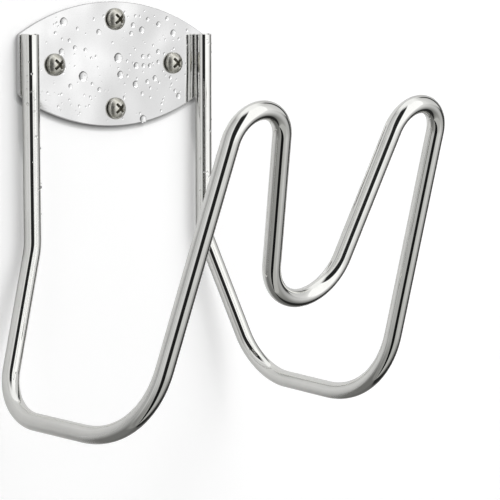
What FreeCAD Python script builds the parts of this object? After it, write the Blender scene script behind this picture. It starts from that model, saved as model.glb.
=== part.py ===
import FreeCAD, Part
import math
import os

# Hose hanger: a wall plate, one bent rod welded to its front, and four pan-head screws.
# Millimetres. The origin is the centre of the plate's back face, with +X to the right as seen
# from the front, +Y into the wall and +Z up.

# Wall plate
PLATE_WIDTH = 125.0
PLATE_HEIGHT = 64.0
PLATE_END_HEIGHT = 30.0
PLATE_THICKNESS = 2.0
PLATE_CORNER_R = 2.5
PLATE_EDGE_R = 0.4
SCREW_FROM_CROWN = 9.0
SCREW_FROM_END = 22.5
SCREW_HOLE_CLEARANCE = 0.3

# Bent rod: rear legs, welded along the plate's ends, and saddles. The saddles' front corner hangs
# SADDLE_DROP below the plate's centre, and the rear bends are measured up from it.
ROD_DIAMETER = 8.8
ROD_AXIS_FROM_END = 4.0
ROD_END_CHAMFER = 0.5
WELD_SINK = 0.4
REAR_TOP_Z = 15.5
REAR_BEND_R = 22.0
REAR_BEND_UP = 82.0
SADDLE_DROP = 173.0
SADDLE_REAR_UP = 3.0
SADDLE_REAR_SPAN = 175.0
SADDLE_REAR_Y = -18.5
SADDLE_REAR_R = 27.0
SADDLE_FRONT_SPAN = 162.0
SADDLE_FRONT_Y = -114.0
SADDLE_FRONT_R = 52.0

# Bent rod: front frame, measured in its own plane, which leans forward from the front of the saddles
FRONT_LEAN_DEG = 18.0
LOOP_SPAN = 106.0
LOOP_CENTRE_UP = 147.2
LOOP_R = 16.0
VALLEY_CENTRE_UP = 91.5
VALLEY_R = 24.5

# Pan-head screws: a plain shank of the thread's outer size below a short neck
SCREW_DIAMETER = 5.5
SCREW_THREAD_DEPTH = 0.65
SCREW_NECK_PAST_PLATE = 0.3
SCREW_LENGTH = 35.0
SCREW_POINT_LENGTH = 6.0
SCREW_POINT_DIAMETER = 0.8
SCREW_TURN_DEG = 42.0
HEAD_DIAMETER = 11.4
HEAD_HEIGHT = 4.4
HEAD_SIDE_HEIGHT = 1.4
HEAD_SHOULDER_R = 1.5
RECESS_SPAN = 8.6
RECESS_WIDTH = 1.7
RECESS_DEPTH = 2.7
RECESS_FLOOR_SPAN = 2.6
RECESS_FLOOR_WIDTH = 1.0

V = FreeCAD.Vector
TOUCH = 0.001
ROD_R = ROD_DIAMETER / 2
ROD_TOP = V(
    PLATE_WIDTH / 2 - ROD_AXIS_FROM_END,
    -(PLATE_THICKNESS + ROD_R - WELD_SINK),
    REAR_TOP_Z,
)
SCREW_ACROSS = PLATE_WIDTH / 2 - SCREW_FROM_END
SCREW_UP = PLATE_HEIGHT / 2 - SCREW_FROM_CROWN
SCREW_PLACES = ((0, SCREW_UP), (0, -SCREW_UP), (-SCREW_ACROSS, 0), (SCREW_ACROSS, 0))


def make_plate():
    """The barrel-shaped plate: upright ends, arched top and bottom, four screw holes."""
    side = PLATE_WIDTH / 2
    end = PLATE_END_HEIGHT / 2
    crown = V(0, 0, PLATE_HEIGHT / 2)
    right_top, right_bottom = V(side, 0, end), V(side, 0, -end)
    left_top, left_bottom = V(-side, 0, end), V(-side, 0, -end)
    outline = Part.Wire([
        Part.LineSegment(right_bottom, right_top).toShape(),
        Part.Arc(right_top, crown, left_top).toShape(),
        Part.LineSegment(left_top, left_bottom).toShape(),
        Part.Arc(left_bottom, -crown, right_bottom).toShape(),
    ])
    plate = Part.Face(outline).extrude(V(0, -PLATE_THICKNESS, 0))
    corners = [e for e in plate.Edges if e.BoundBox.YLength > PLATE_THICKNESS / 2]
    plate = plate.makeFillet(PLATE_CORNER_R, corners)
    rim = [e for e in plate.Edges if e.BoundBox.YMax < -PLATE_THICKNESS / 2]
    plate = plate.makeFillet(PLATE_EDGE_R, rim)
    hole_r = SCREW_DIAMETER / 2 + SCREW_HOLE_CLEARANCE
    for x, z in SCREW_PLACES:
        plate = plate.cut(Part.makeCylinder(hole_r, PLATE_THICKNESS, V(x, 0, z), V(0, -1, 0)))
    return plate


def corner_arc(before, corner, after, radius):
    """Start, middle and end of the arc that rounds a corner between two straight runs."""
    to_before = (before - corner).normalize()
    to_after = (after - corner).normalize()
    half_angle = to_before.getAngle(to_after) / 2
    reach = radius / math.tan(half_angle)
    inward = (to_before + to_after).normalize()
    middle = corner + inward * (radius / math.sin(half_angle) - radius)
    return corner + to_before * reach, middle, corner + to_after * reach


def front_point(across, up):
    """A point of the leaning front frame, from its place across and up that frame's own plane."""
    lean = math.radians(FRONT_LEAN_DEG)
    return V(across, SADDLE_FRONT_Y - up * math.sin(lean), up * math.cos(lean) - SADDLE_DROP)


def front_arc(across, up, radius, start_angle, end_angle):
    """Start, middle and end of an arc in the plane of the front frame."""
    angles = (start_angle, (start_angle + end_angle) / 2, end_angle)
    return [front_point(across + radius * math.cos(a), up + radius * math.sin(a)) for a in angles]


def front_arcs():
    """The right loop, tangent to its two legs, and the right half of the valley between the loops."""
    loop_across = LOOP_SPAN / 2
    foot_across = SADDLE_FRONT_SPAN / 2 - loop_across
    foot_distance = math.hypot(foot_across, LOOP_CENTRE_UP)
    outer_touch = math.acos(LOOP_R / foot_distance) - math.atan2(LOOP_CENTRE_UP, foot_across)
    drop = LOOP_CENTRE_UP - VALLEY_CENTRE_UP
    centre_distance = math.hypot(loop_across, drop)
    towards_valley = math.pi + math.atan2(drop, loop_across)
    inner_touch = towards_valley - math.acos((LOOP_R + VALLEY_R) / centre_distance)
    loop = front_arc(loop_across, LOOP_CENTRE_UP, LOOP_R, outer_touch, inner_touch)
    valley = front_arc(0, VALLEY_CENTRE_UP, VALLEY_R, inner_touch - math.pi, -math.pi / 2)
    return loop, valley


def right_spine():
    """Centreline of the right half of the rod, from the rear leg's top to the middle of the valley."""
    bend = V(ROD_TOP.x, ROD_TOP.y, REAR_BEND_UP - SADDLE_DROP)
    saddle_rear = V(SADDLE_REAR_SPAN / 2, SADDLE_REAR_Y, SADDLE_REAR_UP - SADDLE_DROP)
    saddle_front = V(SADDLE_FRONT_SPAN / 2, SADDLE_FRONT_Y, -SADDLE_DROP)
    loop, valley = front_arcs()
    arcs = (
        corner_arc(ROD_TOP, bend, saddle_rear, REAR_BEND_R),
        corner_arc(bend, saddle_rear, saddle_front, SADDLE_REAR_R),
        corner_arc(saddle_rear, saddle_front, loop[0], SADDLE_FRONT_R),
        loop,
        valley,
    )
    edges = []
    run_start = ROD_TOP
    for arc in arcs:
        edges.append(Part.LineSegment(run_start, arc[0]).toShape())
        edges.append(Part.Arc(*arc).toShape())
        run_start = arc[2]
    return Part.Wire(edges)


def edges_at_height(shape, height):
    """The edges of a shape that lie level at this height."""
    return [
        e for e in shape.Edges
        if abs(e.BoundBox.ZMin - height) < TOUCH and abs(e.BoundBox.ZMax - height) < TOUCH
    ]


def make_rod(plate):
    """The bent rod: one half swept along its centreline, mirrored, and set down by the weld on the plate."""
    section = Part.Wire(Part.makeCircle(ROD_R, ROD_TOP, V(0, 0, -1)))
    half = right_spine().makePipeShell([section], True, False)
    half = half.makeChamfer(ROD_END_CHAMFER, edges_at_height(half, REAR_TOP_Z))
    rod = half.fuse(half.mirror(V(0, 0, 0), V(1, 0, 0))).removeSplitter()
    return rod.cut(plate)


def recess_arm(turn_deg):
    """One arm of the cross recess: a slot that narrows from the head's top to the recess floor."""
    sections = []
    for height, length, width in (
        (HEAD_HEIGHT, RECESS_SPAN, RECESS_WIDTH),
        (HEAD_HEIGHT - RECESS_DEPTH, RECESS_FLOOR_SPAN, RECESS_FLOOR_WIDTH),
    ):
        x, y = length / 2, width / 2
        corners = [V(-x, -y, height), V(x, -y, height), V(x, y, height), V(-x, y, height)]
        sections.append(Part.makePolygon(corners + corners[:1]))
    arm = Part.makeLoft(sections, True)
    arm.rotate(V(0, 0, 0), V(0, 0, 1), turn_deg)
    return arm


def make_screw():
    """One pan-head screw along +Z, with the underside of its head at Z = 0."""
    head_r = HEAD_DIAMETER / 2
    dome = HEAD_HEIGHT - HEAD_SIDE_HEIGHT
    dome_r = (head_r ** 2 + dome ** 2) / (2 * dome)
    ball = Part.makeSphere(dome_r, V(0, 0, HEAD_HEIGHT - dome_r))
    head = Part.makeCylinder(head_r, HEAD_HEIGHT).common(ball)
    head = head.makeFillet(HEAD_SHOULDER_R, edges_at_height(head, HEAD_SIDE_HEIGHT))
    for arm_turn in (0, 90):
        head = head.cut(recess_arm(SCREW_TURN_DEG + arm_turn))

    down = V(0, 0, -1)
    thread_r = SCREW_DIAMETER / 2
    neck_length = PLATE_THICKNESS + SCREW_NECK_PAST_PLATE
    thread_end = SCREW_LENGTH - SCREW_POINT_LENGTH
    neck = Part.makeCylinder(thread_r - SCREW_THREAD_DEPTH, neck_length, V(0, 0, 0), down)
    shank = Part.makeCylinder(thread_r, thread_end - neck_length, V(0, 0, -neck_length), down)
    point = Part.makeCone(
        thread_r, SCREW_POINT_DIAMETER / 2, SCREW_POINT_LENGTH, V(0, 0, -thread_end), down
    )
    return head.fuse([neck, shank, point]).removeSplitter()


def make_screws():
    """The four screws, with their heads seated on the front of the plate."""
    head_outwards = FreeCAD.Rotation(V(0, 0, 1), V(0, -1, 0))
    screws = []
    for x, z in SCREW_PLACES:
        screw = make_screw()
        screw.Placement = FreeCAD.Placement(V(x, -PLATE_THICKNESS, z), head_outwards)
        screws.append(screw)
    return Part.makeCompound(screws)


os.makedirs("parts", exist_ok=True)
wall_plate = make_plate()
wall_plate.exportStep("parts/wall_plate.step")
make_rod(wall_plate).exportStep("parts/bent_rod.step")
make_screws().exportStep("parts/mounting_screws.step")
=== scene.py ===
import math
import random

import bmesh
import bpy
from mathutils import Matrix, Vector


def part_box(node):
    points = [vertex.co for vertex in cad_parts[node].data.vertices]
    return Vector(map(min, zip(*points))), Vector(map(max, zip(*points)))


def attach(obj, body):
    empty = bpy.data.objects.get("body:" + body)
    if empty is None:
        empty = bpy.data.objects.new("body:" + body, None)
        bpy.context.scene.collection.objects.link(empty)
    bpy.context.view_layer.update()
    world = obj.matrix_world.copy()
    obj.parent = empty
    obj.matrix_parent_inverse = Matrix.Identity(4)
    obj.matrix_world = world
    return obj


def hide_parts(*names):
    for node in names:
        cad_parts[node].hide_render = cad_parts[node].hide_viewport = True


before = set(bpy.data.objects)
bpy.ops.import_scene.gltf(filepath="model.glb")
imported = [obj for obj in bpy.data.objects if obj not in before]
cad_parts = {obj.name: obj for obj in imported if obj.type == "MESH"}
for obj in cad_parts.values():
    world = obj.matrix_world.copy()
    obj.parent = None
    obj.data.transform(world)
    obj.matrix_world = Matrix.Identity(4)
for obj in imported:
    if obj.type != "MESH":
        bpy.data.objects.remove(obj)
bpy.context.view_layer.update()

# Hose hanger of mirror-polished steel. The wall plate stays the frame's own solid, with a better finish.
# The rod is bent again from smooth round bar, the screws get their threads, and water drops lie on the
# metal. Metres, in the frame's axes: +X to the right, +Y into the wall, +Z up.

MM = 0.001
MERGE_GAP = 0.001 * MM
SAME_PLACE = 0.01 * MM
SHARP_ANGLE = math.radians(32.0)

# Turns what is made along +Z to face out of the wall
OUT_OF_WALL = Matrix.Rotation(math.pi / 2, 4, "X")

# Wall plate
PLATE_FRONT_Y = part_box("wall_plate")[0].y
PLATE_END_LOW_Z = -15.0 * MM

# Bent rod
ROD_R = 4.38 * MM
ROD_FACETS = 40
ROD_CHAMFER = 0.5 * MM
WELD_END_RUN = 0.1 * MM
BEND_STEP = math.radians(3.0)

# Start and corners of the centreline of the rod's right half, and the radius of each bend
ROD_TOP = Vector((58.5, -6.0, 15.5)) * MM
REAR_BEND = Vector((58.5, -6.0, -91.0)) * MM
REAR_BEND_R = 22.0 * MM
SADDLE_REAR = Vector((87.5, -18.5, -170.0)) * MM
SADDLE_REAR_R = 27.0 * MM
SADDLE_FRONT = Vector((81.0, -114.0, -173.0)) * MM
SADDLE_FRONT_R = 52.0 * MM

# The rod's front frame, measured in its own leaning plane
FRONT_LEAN = math.radians(18.0)
LOOP_ACROSS = 53.0 * MM
LOOP_UP = 147.2 * MM
LOOP_R = 16.0 * MM
VALLEY_UP = 91.5 * MM
VALLEY_R = 24.5 * MM

# Pan-head screws, along their own +Z with the underside of the head at 0
SCREW_ACROSS = 40.0 * MM
SCREW_UP = 23.0 * MM
SCREW_PLACES = {
    "screw_top": Vector((0.0, PLATE_FRONT_Y, SCREW_UP)),
    "screw_bottom": Vector((0.0, PLATE_FRONT_Y, -SCREW_UP)),
    "screw_left": Vector((-SCREW_ACROSS, PLATE_FRONT_Y, 0.0)),
    "screw_right": Vector((SCREW_ACROSS, PLATE_FRONT_Y, 0.0)),
}
HEAD_R = 5.7 * MM
HEAD_HEIGHT = 4.4 * MM
HEAD_SIDE = 1.4 * MM
HEAD_SHOULDER = 1.0 * MM
HEAD_FACETS = 48
SHOULDER_STEPS = 6
DOME_STEPS = 12
DOME_RISE = HEAD_HEIGHT - HEAD_SIDE
DOME_R = (HEAD_R ** 2 + DOME_RISE ** 2) / (2 * DOME_RISE)
RECESS_SPAN = 8.6 * MM
RECESS_WIDTH = 1.7 * MM
RECESS_DEPTH = 2.7 * MM
RECESS_FLOOR_SPAN = 2.6 * MM
RECESS_FLOOR_WIDTH = 1.0 * MM
RECESS_CUT_ABOVE = 0.5 * MM
RECESS_TURN = math.radians(42.0)
CORE_R = 2.1 * MM
THREAD_R = 2.75 * MM
THREAD_START = 2.3 * MM
THREAD_PITCH = 2.2 * MM
THREAD_ROOT_WIDTH = 1.1 * MM
THREAD_SINK = 0.1 * MM
THREAD_TURN_FACETS = 24
POINT_START = 29.0 * MM
SCREW_LENGTH = 35.0 * MM
POINT_R = 0.4 * MM


def finished_piece(name, bm):
    """A piece from its bmesh: smooth faces, with a hard edge wherever two faces meet at a clear angle."""
    bmesh.ops.recalc_face_normals(bm, faces=bm.faces)
    mesh = bpy.data.meshes.new(name)
    bm.to_mesh(mesh)
    bm.free()
    mesh.shade_smooth()
    mesh.set_sharp_from_angle(angle=SHARP_ANGLE)
    piece = bpy.data.objects.new(name, mesh)
    bpy.context.scene.collection.objects.link(piece)
    return piece


# Rod

class RoundBar:
    """A round bar in the making: its open end is pushed straight on, or turned through a bend.

    The layer "bar" keeps where each point lies on the bar before it is bent, so that a finish can run
    along it.
    """

    def __init__(self, top, radius, chamfer):
        self.bm = bmesh.new()
        self.straight = self.bm.verts.layers.float_vector.new("bar")
        cap_r = radius - chamfer
        cap = bmesh.ops.create_circle(
            self.bm, cap_ends=True, segments=ROD_FACETS, radius=cap_r, matrix=Matrix.Translation(top)
        )
        for vert in cap["verts"]:
            vert[self.straight] = (vert.co - top) * (radius / cap_r)
        self.end = list(self.bm.edges)
        widen = Matrix.Diagonal((radius / cap_r, radius / cap_r, 1.0, 1.0))
        lower = Matrix.Translation((0.0, 0.0, -chamfer))
        self.grow(lower @ Matrix.Translation(top) @ widen @ Matrix.Translation(-top), chamfer)

    def grow(self, move, length):
        """Extrudes the open end, moves it, and counts the length of bar that this takes."""
        made = bmesh.ops.extrude_edge_only(self.bm, edges=self.end)["geom"]
        verts = {item for item in made if isinstance(item, bmesh.types.BMVert)}
        bmesh.ops.transform(self.bm, matrix=move, verts=list(verts))
        for vert in verts:
            vert[self.straight] = vert[self.straight] + Vector((0.0, 0.0, length))
        edges = [item for item in made if isinstance(item, bmesh.types.BMEdge)]
        self.end = [edge for edge in edges if verts.issuperset(edge.verts)]

    def push(self, run):
        """A straight run."""
        self.grow(Matrix.Translation(run), run.length)

    def bend(self, centre, axis, angle, radius):
        """A bend about an axis through its centre."""
        steps = math.ceil(angle / BEND_STEP)
        turn = Matrix.Rotation(angle / steps, 4, axis)
        move = Matrix.Translation(centre) @ turn @ Matrix.Translation(-centre)
        for _ in range(steps):
            self.grow(move, radius * angle / steps)


def corner_bend(before, corner, after, radius):
    """Start, centre, axis, angle and radius of the bend that rounds a corner between two straight runs."""
    to_before = (before - corner).normalized()
    to_after = (after - corner).normalized()
    half_angle = to_before.angle(to_after) / 2
    start = corner + to_before * (radius / math.tan(half_angle))
    centre = corner + (to_before + to_after).normalized() * (radius / math.sin(half_angle))
    return start, centre, to_after.cross(to_before).normalized(), math.pi - 2 * half_angle, radius


def front_frame_bends():
    """The right loop and the right half of the valley, as bends in the plane of the leaning front frame."""
    across = Vector((1.0, 0.0, 0.0))
    up = Vector((0.0, -math.sin(FRONT_LEAN), math.cos(FRONT_LEAN)))
    out = across.cross(up)

    def arc(centre_across, centre_up, radius, start_angle, end_angle):
        origin = Vector((0.0, SADDLE_FRONT.y, SADDLE_FRONT.z))
        centre = origin + across * centre_across + up * centre_up
        start = centre + (across * math.cos(start_angle) + up * math.sin(start_angle)) * radius
        axis = out if end_angle > start_angle else -out
        return start, centre, axis, abs(end_angle - start_angle), radius

    foot = SADDLE_FRONT.x - LOOP_ACROSS
    outer_touch = math.acos(LOOP_R / math.hypot(foot, LOOP_UP)) - math.atan2(LOOP_UP, foot)
    drop = LOOP_UP - VALLEY_UP
    reach = math.hypot(LOOP_ACROSS, drop)
    inner_touch = math.pi + math.atan2(drop, LOOP_ACROSS) - math.acos((LOOP_R + VALLEY_R) / reach)
    loop = arc(LOOP_ACROSS, LOOP_UP, LOOP_R, outer_touch, inner_touch)
    valley = arc(0.0, VALLEY_UP, VALLEY_R, inner_touch - math.pi, -math.pi / 2)
    return loop, valley


def make_rod():
    """The rod, bent as one half from the rear leg's top to the middle of the valley, and mirrored.

    Where it lies on the plate, its back is flat against the plate's front, as the weld holds it.
    """
    loop, valley = front_frame_bends()
    bends = (
        corner_bend(ROD_TOP, REAR_BEND, SADDLE_REAR, REAR_BEND_R),
        corner_bend(REAR_BEND, SADDLE_REAR, SADDLE_FRONT, SADDLE_REAR_R),
        corner_bend(SADDLE_REAR, SADDLE_FRONT, loop[0], SADDLE_FRONT_R),
        loop,
        valley,
    )
    bar = RoundBar(ROD_TOP, ROD_R, ROD_CHAMFER)
    weld_end = Vector((ROD_TOP.x, ROD_TOP.y, PLATE_END_LOW_Z))
    here = ROD_TOP - Vector((0.0, 0.0, ROD_CHAMFER))
    bar.push(weld_end - here)
    welded = [vert for vert in bar.bm.verts if vert.co.y > PLATE_FRONT_Y]
    full_round = weld_end - Vector((0.0, 0.0, WELD_END_RUN))
    bar.push(full_round - weld_end)
    here = full_round
    for start, centre, axis, angle, radius in bends:
        bar.push(start - here)
        bar.bend(centre, axis, angle, radius)
        here = centre + Matrix.Rotation(angle, 3, axis) @ (start - centre)
    for vert in welded:
        vert.co.y = PLATE_FRONT_Y
    geometry = bar.bm.verts[:] + bar.bm.edges[:] + bar.bm.faces[:]
    bmesh.ops.mirror(bar.bm, geom=geometry, axis="X", merge_dist=SAME_PLACE)
    bmesh.ops.remove_doubles(bar.bm, verts=bar.bm.verts, dist=MERGE_GAP)
    return finished_piece("polished_rod", bar.bm)


rod = make_rod()
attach(rod, "root")
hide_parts("bent_rod")


# Screws

def dome_height(from_axis):
    """Height of the head's dome at this distance from the screw's axis."""
    return HEAD_HEIGHT - DOME_R + math.sqrt(DOME_R ** 2 - from_axis ** 2)


def screw_blank():
    """Head and core as one turned body, before it gets its recess, thread and point."""
    bm = bmesh.new()
    crown = bm.verts.new((0.0, 0.0, HEAD_HEIGHT))
    dome = bmesh.ops.spin(
        bm, geom=[crown], cent=(0.0, 0.0, HEAD_HEIGHT - DOME_R), axis=(0.0, 1.0, 0.0),
        angle=math.asin(HEAD_R / DOME_R), steps=DOME_STEPS,
    )
    profile_end = dome["geom_last"][0]
    for radius, height in (
        (HEAD_R, 0.0),
        (CORE_R, 0.0),
        (CORE_R, -POINT_START),
        (CORE_R, -SCREW_LENGTH),
        (0.0, -SCREW_LENGTH),
    ):
        profile_end = bmesh.ops.extrude_vert_indiv(bm, verts=[profile_end])["verts"][0]
        profile_end.co = (radius, 0.0, height)
    bmesh.ops.spin(
        bm, geom=bm.verts[:] + bm.edges[:], cent=(0.0, 0.0, 0.0), axis=(0.0, 0.0, 1.0),
        angle=math.tau, steps=HEAD_FACETS, use_merge=True,
    )
    bmesh.ops.remove_doubles(bm, verts=bm.verts, dist=MERGE_GAP)
    shoulder = [
        edge for edge in bm.edges
        if all(abs(vert.co.z - HEAD_SIDE) < SAME_PLACE for vert in edge.verts)
    ]
    bmesh.ops.bevel(
        bm, geom=shoulder, offset=HEAD_SHOULDER, affect="EDGES", segments=SHOULDER_STEPS, profile=0.5,
        material=-1,
    )
    return finished_piece("screw_blank", bm)


def recess_cutter(turn):
    """One arm of the cross recess: a slot that narrows towards its floor."""
    bm = bmesh.new()
    taper_span = (RECESS_SPAN - RECESS_FLOOR_SPAN) / RECESS_DEPTH
    taper_width = (RECESS_WIDTH - RECESS_FLOOR_WIDTH) / RECESS_DEPTH
    for vert in bmesh.ops.create_cube(bm, size=2.0)["verts"]:
        above_floor = RECESS_DEPTH + RECESS_CUT_ABOVE if vert.co.z > 0 else 0.0
        vert.co.x *= (RECESS_FLOOR_SPAN + taper_span * above_floor) / 2
        vert.co.y *= (RECESS_FLOOR_WIDTH + taper_width * above_floor) / 2
        vert.co.z = HEAD_HEIGHT - RECESS_DEPTH + above_floor
    bmesh.ops.rotate(bm, verts=bm.verts, cent=(0.0, 0.0, 0.0), matrix=Matrix.Rotation(turn, 3, "Z"))
    return finished_piece("recess_cutter", bm)


def cut_head():
    """The screw's body with the cross recess cut into its head, as a bmesh."""
    blank = screw_blank()
    cutters = [recess_cutter(RECESS_TURN), recess_cutter(RECESS_TURN + math.pi / 2)]
    for cutter in cutters:
        cut = blank.modifiers.new("recess", "BOOLEAN")
        cut.operation = "DIFFERENCE"
        cut.solver = "EXACT"
        cut.object = cutter
    bm = bmesh.new()
    bm.from_object(blank, bpy.context.evaluated_depsgraph_get())
    for piece in (blank, *cutters):
        bpy.data.objects.remove(piece)
    return bm


def add_thread(bm):
    """A helical ridge along the core, closed at both ends."""
    start = -(THREAD_START + THREAD_ROOT_WIDTH / 2)
    root_r = CORE_R - THREAD_SINK
    turns = math.floor((SCREW_LENGTH - THREAD_START - THREAD_ROOT_WIDTH) / THREAD_PITCH)
    steps = turns * THREAD_TURN_FACETS
    corners = [
        bm.verts.new((root_r, 0.0, start + THREAD_ROOT_WIDTH / 2)),
        bm.verts.new((THREAD_R, 0.0, start)),
        bm.verts.new((root_r, 0.0, start - THREAD_ROOT_WIDTH / 2)),
    ]
    section = bmesh.ops.contextual_create(bm, geom=corners)["faces"][0]
    ring = [*section.verts, *section.edges]
    swept = bmesh.ops.spin(
        bm, geom=ring, cent=(0.0, 0.0, 0.0), axis=(0.0, 0.0, 1.0), angle=math.tau * turns, steps=steps,
        dvec=(0.0, 0.0, -THREAD_PITCH / THREAD_TURN_FACETS),
    )
    last = [item for item in swept["geom_last"] if isinstance(item, bmesh.types.BMVert)]
    bmesh.ops.contextual_create(bm, geom=last)


def make_screws():
    """Four screws with threads and tapered points, their heads seated on the front of the plate.

    The layer "turned" keeps each point's place on the upright screw, and "recess" its depth below the dome.
    """
    bm = cut_head()
    add_thread(bm)
    turned = bm.verts.layers.float_vector.new("turned")
    recess = bm.verts.layers.float.new("recess")
    tip_share = POINT_R / THREAD_R
    for vert in bm.verts:
        from_axis = vert.co.xy.length
        if vert.co.z > 0.0 and from_axis < RECESS_SPAN / 2:
            vert[recess] = dome_height(from_axis) - vert.co.z
        past_start = max(0.0, -vert.co.z - POINT_START) / (SCREW_LENGTH - POINT_START)
        narrow = 1.0 - (1.0 - tip_share) * past_start
        vert.co.x *= narrow
        vert.co.y *= narrow
        vert[turned] = vert.co
    pattern = finished_piece("screw", bm)
    screws = []
    for name, place in SCREW_PLACES.items():
        screw = bpy.data.objects.new(name, pattern.data.copy())
        screw.data.transform(Matrix.Translation(place) @ OUT_OF_WALL)
        bpy.context.scene.collection.objects.link(screw)
        screws.append(screw)
    bpy.data.objects.remove(pattern)
    return screws


screws = make_screws()
for screw in screws:
    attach(screw, "root")
    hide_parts("mounting_screws")


# Water drops

# The larger drops on the plate: place across, place up and width, in millimetres
PLATE_DROPS = (
    (-34.0, 21.6, 4.2), (2.0, 3.2, 4.8), (-21.7, -6.0, 4.9), (3.4, -5.5, 3.7), (13.8, -10.7, 3.4),
    (18.3, 17.5, 3.3), (18.9, -29.0, 4.0), (12.3, 20.0, 2.6), (14.4, -1.0, 3.2), (27.3, -7.8, 2.8),
    (-11.0, 16.5, 2.8), (-35.5, 6.5, 3.2), (40.4, 15.9, 3.4), (30.0, 20.5, 2.7), (-30.0, -10.9, 2.4),
    (22.5, 23.1, 2.1), (36.1, 23.6, 2.1), (11.0, 15.7, 2.3), (18.9, 3.8, 2.1), (23.3, 3.9, 2.1),
    (19.4, -1.1, 2.3), (23.8, -1.2, 2.3), (29.7, 6.1, 2.5), (29.7, 0.7, 2.1), (22.0, -9.5, 2.3),
    (18.4, -15.6, 2.0), (41.6, -14.7, 2.0), (44.0, -17.4, 2.8), (38.4, -7.6, 2.0), (6.0, -17.4, 1.8),
    (-30.3, 12.2, 2.0), (-26.8, 8.5, 2.3), (-20.0, 7.3, 2.1), (-10.9, -13.0, 2.3), (-15.6, -10.0, 1.9),
    (-25.0, 18.2, 1.8), (-39.4, 16.0, 1.8),
)

# The small drops on the plate, and their field between the rear legs and inside the plate's arched edges
SMALL_DROPS = 120
SMALL_DROP_MM = (0.6, 1.6)
SMALL_DROP_SEED = 7
DROP_GAP_MM = 0.5
FIELD_ACROSS_MM = (-51.0, 52.0)
FIELD_UP_MM = (-30.0, 30.0)
FIELD_CROWN_MM = 31.0
FIELD_ARCH_MM = 17.0
PLATE_HALF_WIDTH_MM = 62.5

# Small drops on the rear legs; their turn is in radians from the front, to either side
ROD_DROPS = 44
ROD_DROP_MM = (0.7, 1.5)
ROD_DROP_SEED = 11
ROD_DROP_HEIGHTS = (-78.0 * MM, 14.0 * MM)
ROD_DROP_TURN = 1.35

# A drop's shape, as shares of its width
DROP_WIDE = 0.94
DROP_TALL = 1.06
DROP_SAG = 0.06
DROP_RISE = 0.5

# How deep a drop's base lies in the metal, and how finely large and small drops are made
DROP_SINK = 0.06 * MM
LARGE_DROP_MM = 2.0
LARGE_DROP_FACETS = 16
SMALL_DROP_FACETS = 8


def add_drop(bm, place, width, facets):
    """One drop: half a ball, a little taller than wide, that sags, with a flat base just inside the metal.

    The layer "foot" runs from 0 at the drop's top to 1 at its base.
    """
    foot = bm.verts.layers.float.get("foot") or bm.verts.layers.float.new("foot")
    ball = bmesh.ops.create_uvsphere(bm, u_segments=facets, v_segments=facets // 2 + 2, radius=1.0)
    for vert in ball["verts"]:
        rise = max(vert.co.z, 0.0)
        vert[foot] = 1.0 - rise
        vert.co.x *= width / 2 * DROP_WIDE
        vert.co.y = vert.co.y * width / 2 * DROP_TALL - rise * width * DROP_SAG
        vert.co.z = rise * width * DROP_RISE - DROP_SINK
    bmesh.ops.transform(bm, matrix=place, verts=ball["verts"])


def make_plate_drops():
    """Drops on the plate: the larger ones at their own places, and small ones scattered clear of them."""
    scatter = random.Random(SMALL_DROP_SEED)
    screw_heads = [(place.x / MM, place.z / MM, 2 * HEAD_R / MM) for place in SCREW_PLACES.values()]
    drops = list(PLATE_DROPS)
    while len(drops) < len(PLATE_DROPS) + SMALL_DROPS:
        x = scatter.uniform(*FIELD_ACROSS_MM)
        z = scatter.uniform(*FIELD_UP_MM)
        width = scatter.uniform(*SMALL_DROP_MM)
        edge = FIELD_CROWN_MM - FIELD_ARCH_MM * (x / PLATE_HALF_WIDTH_MM) ** 2 - width
        clear = all(
            math.hypot(x - other_x, z - other_z) > (width + other_width) / 2 + DROP_GAP_MM
            for other_x, other_z, other_width in [*drops, *screw_heads]
        )
        if clear and abs(z) < edge:
            drops.append((x, z, width))
    bm = bmesh.new()
    for x, z, width in drops:
        place = Matrix.Translation(Vector((x * MM, PLATE_FRONT_Y, z * MM)))
        facets = LARGE_DROP_FACETS if width > LARGE_DROP_MM else SMALL_DROP_FACETS
        add_drop(bm, place @ OUT_OF_WALL, width * MM, facets)
    return finished_piece("plate_drops", bm)


def make_rod_drops():
    """Small drops on the front of the rear legs."""
    scatter = random.Random(ROD_DROP_SEED)
    bm = bmesh.new()
    for number in range(ROD_DROPS):
        side = -1.0 if number % 2 else 1.0
        height = scatter.uniform(*ROD_DROP_HEIGHTS)
        turn = scatter.uniform(-ROD_DROP_TURN, ROD_DROP_TURN)
        axis_point = Vector((side * ROD_TOP.x, ROD_TOP.y, height))
        outwards = Matrix.Rotation(turn, 4, "Z") @ OUT_OF_WALL
        place = Matrix.Translation(axis_point) @ outwards @ Matrix.Translation((0.0, 0.0, ROD_R))
        add_drop(bm, place, scatter.uniform(*ROD_DROP_MM) * MM, SMALL_DROP_FACETS)
    return finished_piece("rod_drops", bm)


plate_drops = make_plate_drops()
rod_drops = make_rod_drops()
for drops in (plate_drops, rod_drops):
    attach(drops, "root")


# Shader nodes

WHITE = (1.0, 1.0, 1.0, 1.0)


def grey(tone):
    """A neutral colour of this tone."""
    return tone, tone, tone, 1.0


def add(tree, kind, inputs=None, **settings):
    """A shader node with its settings; an input is a value, or the output socket that feeds it."""
    made = tree.nodes.new("ShaderNode" + kind)
    for name, value in settings.items():
        setattr(made, name, value)
    for name, value in (inputs or {}).items():
        if isinstance(value, bpy.types.NodeSocket):
            tree.links.new(value, made.inputs[name])
        else:
            made.inputs[name].default_value = value
    return made


def calculate(tree, operation, *values):
    """The result of one operation on values or sockets."""
    return add(tree, "Math", dict(enumerate(values)), operation=operation).outputs[0]


def scaled(tree, value, start, end, low=0.0, high=1.0):
    """A value carried from the range start to end over to the range low to high, and held within it."""
    limits = {"From Min": start, "From Max": end, "To Min": low, "To Max": high}
    return add(tree, "MapRange", {"Value": value, **limits}).outputs[0]


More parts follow.
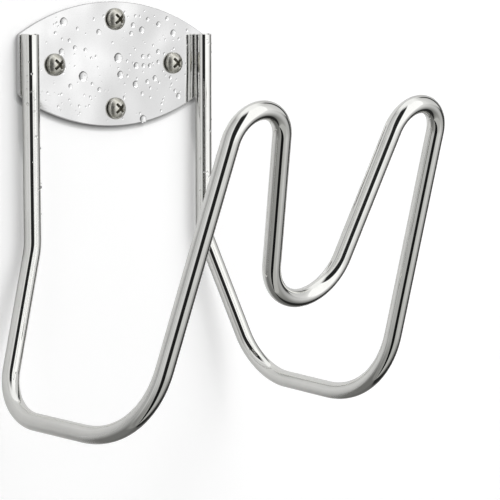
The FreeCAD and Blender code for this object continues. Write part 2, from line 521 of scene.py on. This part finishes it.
def blended(tree, share, first, second, blend_type="MIX"):
    """Two colours, blended by a share of the second."""
    inputs = {"Fac": share, "Color1": first, "Color2": second}
    return add(tree, "MixRGB", inputs, blend_type=blend_type).outputs[0]


def object_place(tree):
    """Each point's place on the object."""
    return add(tree, "TexCoord").outputs["Object"]


def bar_place(tree):
    """Each point's place on the bar before it was bent."""
    return add(tree, "Attribute", attribute_name="bar").outputs["Vector"]


# Finishes

CLEAN_STEEL = 0.90
HAZED_STEEL = 0.84
HAZE_LIMITS = (0.32, 0.70)
HAZE_ROUGHNESS = (0.6, 1.6)
HAIRLINE_DEPTH = 0.004 * MM

BRIGHT_SCREW = (0.90, 0.89, 0.845, 1.0)
DULL_SCREW = (0.62, 0.605, 0.52, 1.0)
SCREW_CLOUD_SCALE = 420.0
SCREW_RING_SCALE = (300.0, 300.0, 9000.0)
SCREW_RING_DEPTH = 0.02 * MM
SCREW_ROUGHNESS = (0.22, 0.42)
# Painted shade on the screws: its colour, its share and reach at the seat, its share and depths in the
# recess
PAINTED_SHADE = (0.05, 0.047, 0.035, 1.0)
SEAT_PAINTED_SHADE = 0.9
SEAT_PAINTED_SHADE_REACH = 1.7 * MM
RECESS_PAINTED_SHADE = 0.5
RECESS_PAINTED_SHADE_DEPTHS = (0.05 * RECESS_DEPTH, 0.3 * RECESS_DEPTH)

# Painted shade round the foot of each drop: its tone, and the foot shares where it begins and is full
FOOT_PAINTED_SHADE = 0.06
FOOT_PAINTED_SHADE_LIMITS = (0.55, 0.95)
WATER_RIPPLE_SCALE = 700.0
WATER_ROUGHNESS = 0.03


def new_finish(name, **shader_values):
    """An empty material with a Principled shader, whose sockets get these plain values."""
    material = bpy.data.materials.new(name)
    material.use_nodes = True
    tree = material.node_tree
    tree.nodes.clear()
    sockets = {key.replace("_", " "): value for key, value in shader_values.items()}
    shader = add(tree, "BsdfPrincipled", sockets)
    add(tree, "OutputMaterial", {"Surface": shader.outputs[0]})
    return material, tree, shader


def polish_group():
    """Shared by the metal parts: cloudy haze, and hairlines that follow a stretched direction."""
    group = bpy.data.node_groups.new("hand_polish", "ShaderNodeTree")
    for name, kind in (("Place", "Vector"), ("Cloud Scale", "Float"), ("Hairline Scale", "Vector")):
        group.interface.new_socket(name, in_out="INPUT", socket_type="NodeSocket" + kind)
    for name in ("Haze", "Hairlines"):
        group.interface.new_socket(name, in_out="OUTPUT", socket_type="NodeSocketFloat")
    given = group.nodes.new("NodeGroupInput").outputs
    clouds = add(group, "TexNoise", {
        "Vector": given["Place"], "Scale": given["Cloud Scale"], "Detail": 5.0, "Roughness": 0.6,
    })
    haze = scaled(group, clouds.outputs["Fac"], *HAZE_LIMITS)
    stretched = add(
        group, "VectorMath", {0: given["Place"], 1: given["Hairline Scale"]}, operation="MULTIPLY"
    )
    lines = add(group, "TexNoise", {
        "Vector": stretched.outputs[0], "Scale": 1.0, "Detail": 3.0, "Roughness": 0.7,
    })
    result = group.nodes.new("NodeGroupOutput").inputs
    group.links.new(haze, result["Haze"])
    group.links.new(lines.outputs["Fac"], result["Hairlines"])
    return group


hand_polish = polish_group()


def add_polish(tree, place, cloud_scale, hairline_scale):
    """The shared polish in a material, with this material's own scales: its haze and its hairlines."""
    polish = tree.nodes.new("ShaderNodeGroup")
    polish.node_tree = hand_polish
    tree.links.new(place, polish.inputs["Place"])
    polish.inputs["Cloud Scale"].default_value = cloud_scale
    polish.inputs["Hairline Scale"].default_value = hairline_scale
    return polish.outputs["Haze"], polish.outputs["Hairlines"]


def mirror_steel(
    name, place_of, blue_share, cloud_scale, hairline_scale, roughness, wave_scale, wave_height
):
    """Mirror-polished steel: bright, faintly hazed in patches, with hairlines and a slow waviness."""
    material, tree, shader = new_finish(name, Metallic=1.0)
    place = place_of(tree)
    haze, hairlines = add_polish(tree, place, cloud_scale, hairline_scale)
    clean = (CLEAN_STEEL, CLEAN_STEEL, CLEAN_STEEL * blue_share, 1.0)
    hazed = (HAZED_STEEL, HAZED_STEEL, HAZED_STEEL * blue_share, 1.0)
    tree.links.new(blended(tree, haze, clean, hazed), shader.inputs["Base Color"])
    smoothest, roughest = (roughness * share for share in HAZE_ROUGHNESS)
    tree.links.new(scaled(tree, haze, 0.0, 1.0, smoothest, roughest), shader.inputs["Roughness"])
    waves = add(tree, "TexNoise", {"Vector": place, "Scale": wave_scale, "Detail": 1.0})
    wavy = add(tree, "Bump", {"Height": waves.outputs["Fac"], "Strength": 1.0, "Distance": wave_height})
    lined = add(tree, "Bump", {
        "Height": hairlines, "Strength": 0.5, "Distance": HAIRLINE_DEPTH, "Normal": wavy.outputs[0],
    })
    tree.links.new(lined.outputs[0], shader.inputs["Normal"])
    return material


def screw_steel():
    """Bright steel with faint turning rings, dulled in patches, and painted shade in the recess and at the
    seat.
    """
    material, tree, shader = new_finish("screw_steel", Metallic=1.0)
    place = add(tree, "Attribute", attribute_name="turned").outputs["Vector"]
    haze, rings = add_polish(tree, place, SCREW_CLOUD_SCALE, SCREW_RING_SCALE)
    # Painted shade: darker close to the seat against the plate and down in the recess
    height = add(tree, "SeparateXYZ", {0: place}).outputs["Z"]
    from_seat = calculate(tree, "ABSOLUTE", height)
    painted_seat_shade = scaled(tree, from_seat, SEAT_PAINTED_SHADE_REACH, 0.0, 0.0, SEAT_PAINTED_SHADE)
    depth = add(tree, "Attribute", attribute_name="recess").outputs["Fac"]
    painted_recess_shade = scaled(tree, depth, *RECESS_PAINTED_SHADE_DEPTHS, 0.0, RECESS_PAINTED_SHADE)
    painted_shade_share = calculate(tree, "MAXIMUM", painted_seat_shade, painted_recess_shade)
    steel = blended(tree, haze, BRIGHT_SCREW, DULL_SCREW)
    tree.links.new(blended(tree, painted_shade_share, steel, PAINTED_SHADE), shader.inputs["Base Color"])
    tree.links.new(scaled(tree, haze, 0.0, 1.0, *SCREW_ROUGHNESS), shader.inputs["Roughness"])
    lined = add(tree, "Bump", {"Height": rings, "Strength": 0.4, "Distance": SCREW_RING_DEPTH})
    tree.links.new(lined.outputs[0], shader.inputs["Normal"])
    return material


def clear_water():
    """Water: clear, with painted shade round the steep foot of each drop, and a very slightly uneven skin.
    """
    material, tree, shader = new_finish("clear_water", IOR=1.33, Transmission_Weight=1.0)
    foot = add(tree, "Attribute", attribute_name="foot").outputs["Fac"]
    painted_foot_shade = scaled(tree, foot, *FOOT_PAINTED_SHADE_LIMITS)
    tree.links.new(blended(tree, painted_foot_shade, WHITE, grey(FOOT_PAINTED_SHADE)), shader.inputs["Base Color"])
    ripple = add(tree, "TexNoise", {"Vector": object_place(tree), "Scale": WATER_RIPPLE_SCALE})
    uneven = scaled(tree, ripple.outputs["Fac"], 0.0, 1.0, 0.0, WATER_ROUGHNESS)
    tree.links.new(uneven, shader.inputs["Roughness"])
    return material


def finish_with(piece, material):
    """Gives a piece one finish, on the slot it has or on a new one."""
    if piece.material_slots:
        for slot in piece.material_slots:
            slot.material = material
    else:
        piece.data.materials.append(material)


plate_polish = mirror_steel(
    "plate_mirror_polish", object_place, blue_share=1.0, cloud_scale=60.0,
    hairline_scale=(90.0, 900.0, 2600.0), roughness=0.09, wave_scale=24.0, wave_height=1.2 * MM,
)
rod_polish = mirror_steel(
    "rod_mirror_polish", bar_place, blue_share=0.97, cloud_scale=90.0,
    hairline_scale=(1800.0, 1800.0, 60.0), roughness=0.05, wave_scale=60.0, wave_height=0.01 * MM,
)
finish_with(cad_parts["wall_plate"], plate_polish)
finish_with(rod, rod_polish)
screw_finish = screw_steel()
for screw in screws:
    finish_with(screw, screw_finish)
water = clear_water()
for drops in (plate_drops, rod_drops):
    finish_with(drops, water)


# Studio: a white wall behind the plate, a pale floor, panels of light all round, and one soft lamp

WALL_GAP = 0.3 * MM
WALL_HALF = 0.5
WALL_TONE = 0.8
WALL_MIRRORED_TONE = 0.76
WALL_LIFT = 0.30
WALL_MIRRORED_REACH = 0.32

FLOOR_Z = -1.2
FLOOR_HALF = 1.6
FLOOR_TONE = 0.75
FLOOR_MIRRORED_TONE = 0.75
FLOOR_LIFT = 0.3
FLOOR_MIRRORED_REACH = 0.6

# The metal shows no paper that lies nearer than this
MIRRORED_FROM = 2.0 * MM

# Shade on the paper close to the object: the way to the main light, the two heights between which the
# shade's reach changes, its reach at each, and how open a spot is where shade is full and where it ends
CONTACT_LIGHT = Vector((0.1, -0.4, 0.9)).normalized()
CONTACT_HEIGHTS = (-60.0 * MM, -36.0 * MM)
CONTACT_REACH = (1.4 * MM, 3.6 * MM)
CONTACT_OPENNESS = (0.28, 0.97)


def contact_shade(tree, spot):
    """How open the paper is to the light, from 0 in full shade close to the object to 1.

    The shade reaches further beside the plate than below it.
    """
    light_way = add(tree, "CombineXYZ", dict(zip("XYZ", CONTACT_LIGHT)))
    height = add(tree, "SeparateXYZ", {0: spot}).outputs["Z"]
    reach = scaled(tree, height, *CONTACT_HEIGHTS, *CONTACT_REACH)
    openness = add(tree, "AmbientOcclusion", {"Distance": reach, "Normal": light_way.outputs[0]})
    return scaled(tree, openness.outputs["AO"], *CONTACT_OPENNESS)


def studio_paper(name, tone, mirrored_tone, lift, mirrored_reach):
    """Pale paper, seen from its front only.

    To the eye it is lifted to white, with shade close to the object. The metal shows it plain, in its
    mirrored tone, as far out as mirrored_reach, and shows the panels of the studio beyond.
    """
    material = bpy.data.materials.new(name)
    material.use_nodes = True
    tree = material.node_tree
    tree.nodes.clear()
    path = add(tree, "LightPath").outputs
    mirrored = calculate(tree, "MAXIMUM", path["Is Glossy Ray"], path["Is Transmission Ray"])
    spot = object_place(tree)
    contact = contact_shade(tree, spot)
    shaded_tone = calculate(tree, "MULTIPLY", contact, tone)
    paper = add(tree, "BsdfDiffuse", {"Color": blended(tree, mirrored, shaded_tone, grey(mirrored_tone))})
    seen_lift = calculate(tree, "MULTIPLY", path["Is Camera Ray"], lift)
    shaded_lift = calculate(tree, "MULTIPLY", seen_lift, contact)
    glow = add(tree, "Emission", {"Color": WHITE, "Strength": shaded_lift})
    lit = add(tree, "AddShader", {0: paper.outputs[0], 1: glow.outputs[0]})
    from_middle = add(tree, "VectorMath", {0: spot}, operation="LENGTH").outputs["Value"]
    far = scaled(tree, from_middle, mirrored_reach / 2, mirrored_reach)
    close = calculate(tree, "LESS_THAN", path["Ray Length"], MIRRORED_FROM)
    too_close_or_far = calculate(tree, "MAXIMUM", close, far)
    not_mirrored = calculate(tree, "MULTIPLY", too_close_or_far, mirrored)
    back = add(tree, "NewGeometry").outputs["Backfacing"]
    unseen = calculate(tree, "MAXIMUM", back, not_mirrored)
    clear = add(tree, "BsdfTransparent")
    shown = add(tree, "MixShader", {0: unseen, 1: lit.outputs[0], 2: clear.outputs[0]})
    add(tree, "OutputMaterial", {"Surface": shown.outputs[0]})
    return material


def studio_sheet(name, half, place, material):
    """A flat sheet of studio paper."""
    bm = bmesh.new()
    bmesh.ops.create_grid(bm, x_segments=1, y_segments=1, size=half, matrix=place)
    mesh = bpy.data.meshes.new(name)
    bm.to_mesh(mesh)
    bm.free()
    sheet = bpy.data.objects.new(name, mesh)
    bpy.context.scene.collection.objects.link(sheet)
    sheet.data.materials.append(material)


wall_paper = studio_paper("wall_paper", WALL_TONE, WALL_MIRRORED_TONE, WALL_LIFT, WALL_MIRRORED_REACH)
floor_paper = studio_paper("floor_paper", FLOOR_TONE, FLOOR_MIRRORED_TONE, FLOOR_LIFT, FLOOR_MIRRORED_REACH)
wall_place = Matrix.Translation((0.0, WALL_GAP, 0.0)) @ OUT_OF_WALL
studio_sheet("studio_wall", WALL_HALF, wall_place, wall_paper)
studio_sheet("studio_floor", FLOOR_HALF, Matrix.Translation((0.0, 0.0, FLOOR_Z)), floor_paper)

# Panels round the object, as bearing in degrees, from the front (0) to the right (90), and brightness
LEFT_PANELS = (
    (-180, 0.40), (-112, 0.40), (-104, 0.66), (-95, 0.50), (-86, 0.70), (-78, 0.60), (-69, 0.82),
    (-61, 0.82), (-57, 0.02), (-18, 0.02), (-14, 1.12), (34, 1.12),
)
LOWER_PANELS = LEFT_PANELS + (
    (37, 1.10), (40, 0.88), (43, 0.78), (48, 0.69), (54, 0.60), (60, 0.52), (67, 0.40), (72, 0.05),
    (104, 0.05), (114, 0.30), (180, 0.40),
)
UPPER_PANELS = LEFT_PANELS + (
    (39.5, 1.15), (41, 0.97), (42, 0.84), (45, 0.80), (48, 0.78), (54, 0.70), (70, 0.64), (79, 0.62),
    (82, 0.05), (97, 0.04), (101, 0.60), (180, 0.52),
)

# How far up a direction points where each part of the studio begins and where it is complete
UPPER_PANEL_HEIGHTS = (-0.016, 0.02)
CEILING_HEIGHTS = (0.78, 0.95)
GROUND_HEIGHTS = (-0.3, -0.7)

# What the ground leaves of the panels' light
GROUND_TONE = (0.42, 0.42, 0.41, 1.0)


def panel_ring(tree, turn, panels):
    """A ring of panels, from the share of a full turn that leads to each place."""
    ring = add(tree, "ValToRGB", {"Fac": turn})
    stops = ring.color_ramp.elements
    while len(stops) < len(panels):
        stops.new(1.0)
    for stop, (degrees, bright) in zip(stops, panels):
        stop.position = (degrees + 180) / 360
        stop.color = grey(bright)
    return ring.outputs[0]


def studio_world():
    """White to the eye; to the metal two rings of panels, with a bright ceiling and a darker ground."""
    world = bpy.data.worlds.new("studio")
    bpy.context.scene.world = world
    world.use_nodes = True
    tree = world.node_tree
    tree.nodes.clear()
    direction = add(tree, "SeparateXYZ", {0: add(tree, "TexCoord").outputs["Generated"]}).outputs
    forward = calculate(tree, "MULTIPLY", direction["Y"], -1.0)
    bearing = calculate(tree, "ARCTAN2", direction["X"], forward)
    turn = scaled(tree, bearing, -math.pi, math.pi)
    raised = scaled(tree, direction["Z"], *UPPER_PANEL_HEIGHTS)
    lower_ring = panel_ring(tree, turn, LOWER_PANELS)
    upper_ring = panel_ring(tree, turn, UPPER_PANELS)
    panels = blended(tree, raised, lower_ring, upper_ring)
    overhead = scaled(tree, direction["Z"], *CEILING_HEIGHTS)
    with_ceiling = blended(tree, overhead, panels, WHITE)
    below = scaled(tree, direction["Z"], *GROUND_HEIGHTS)
    with_ground = blended(tree, below, with_ceiling, GROUND_TONE, blend_type="MULTIPLY")
    seen = add(tree, "LightPath").outputs["Is Camera Ray"]
    light = add(tree, "Background", {"Color": blended(tree, seen, with_ground, WHITE), "Strength": 1.0})
    add(tree, "OutputWorld", {"Surface": light.outputs[0]})


studio_world()

LAMP_PLACE = Vector((0.8, -1.0, 1.3))
LAMP_SIDE = 1.5
LAMP_WATTS = 18.0

lamp_data = bpy.data.lights.new("soft_lamp", "AREA")
lamp_data.shape = "SQUARE"
lamp_data.size = LAMP_SIDE
lamp_data.energy = LAMP_WATTS
lamp = bpy.data.objects.new("soft_lamp", lamp_data)
lamp.location = LAMP_PLACE
lamp.visible_glossy = False
lamp.rotation_euler = (-LAMP_PLACE).to_track_quat("-Z", "Y").to_euler()
bpy.context.scene.collection.objects.link(lamp)

# Camera, at the photograph's viewing angle
CAMERA_PLACE = Vector((-675.9, -794.1, 17.8)) * MM
CAMERA_YAW = math.radians(44.31)
CAMERA_PITCH = math.radians(6.3)
CAMERA_SENSOR_MM = 36.0
CAMERA_LENS_MM = 144.0

camera_data = bpy.data.cameras.new("camera")
camera_data.sensor_fit = "HORIZONTAL"
camera_data.sensor_width = CAMERA_SENSOR_MM
camera_data.lens = CAMERA_LENS_MM
camera = bpy.data.objects.new("camera", camera_data)
camera.location = CAMERA_PLACE
camera.rotation_euler = (math.pi / 2 - CAMERA_PITCH, 0.0, -CAMERA_YAW)
bpy.context.scene.collection.objects.link(camera)
bpy.context.scene.camera = camera
bpy.context.scene.view_settings.view_transform = "Standard"
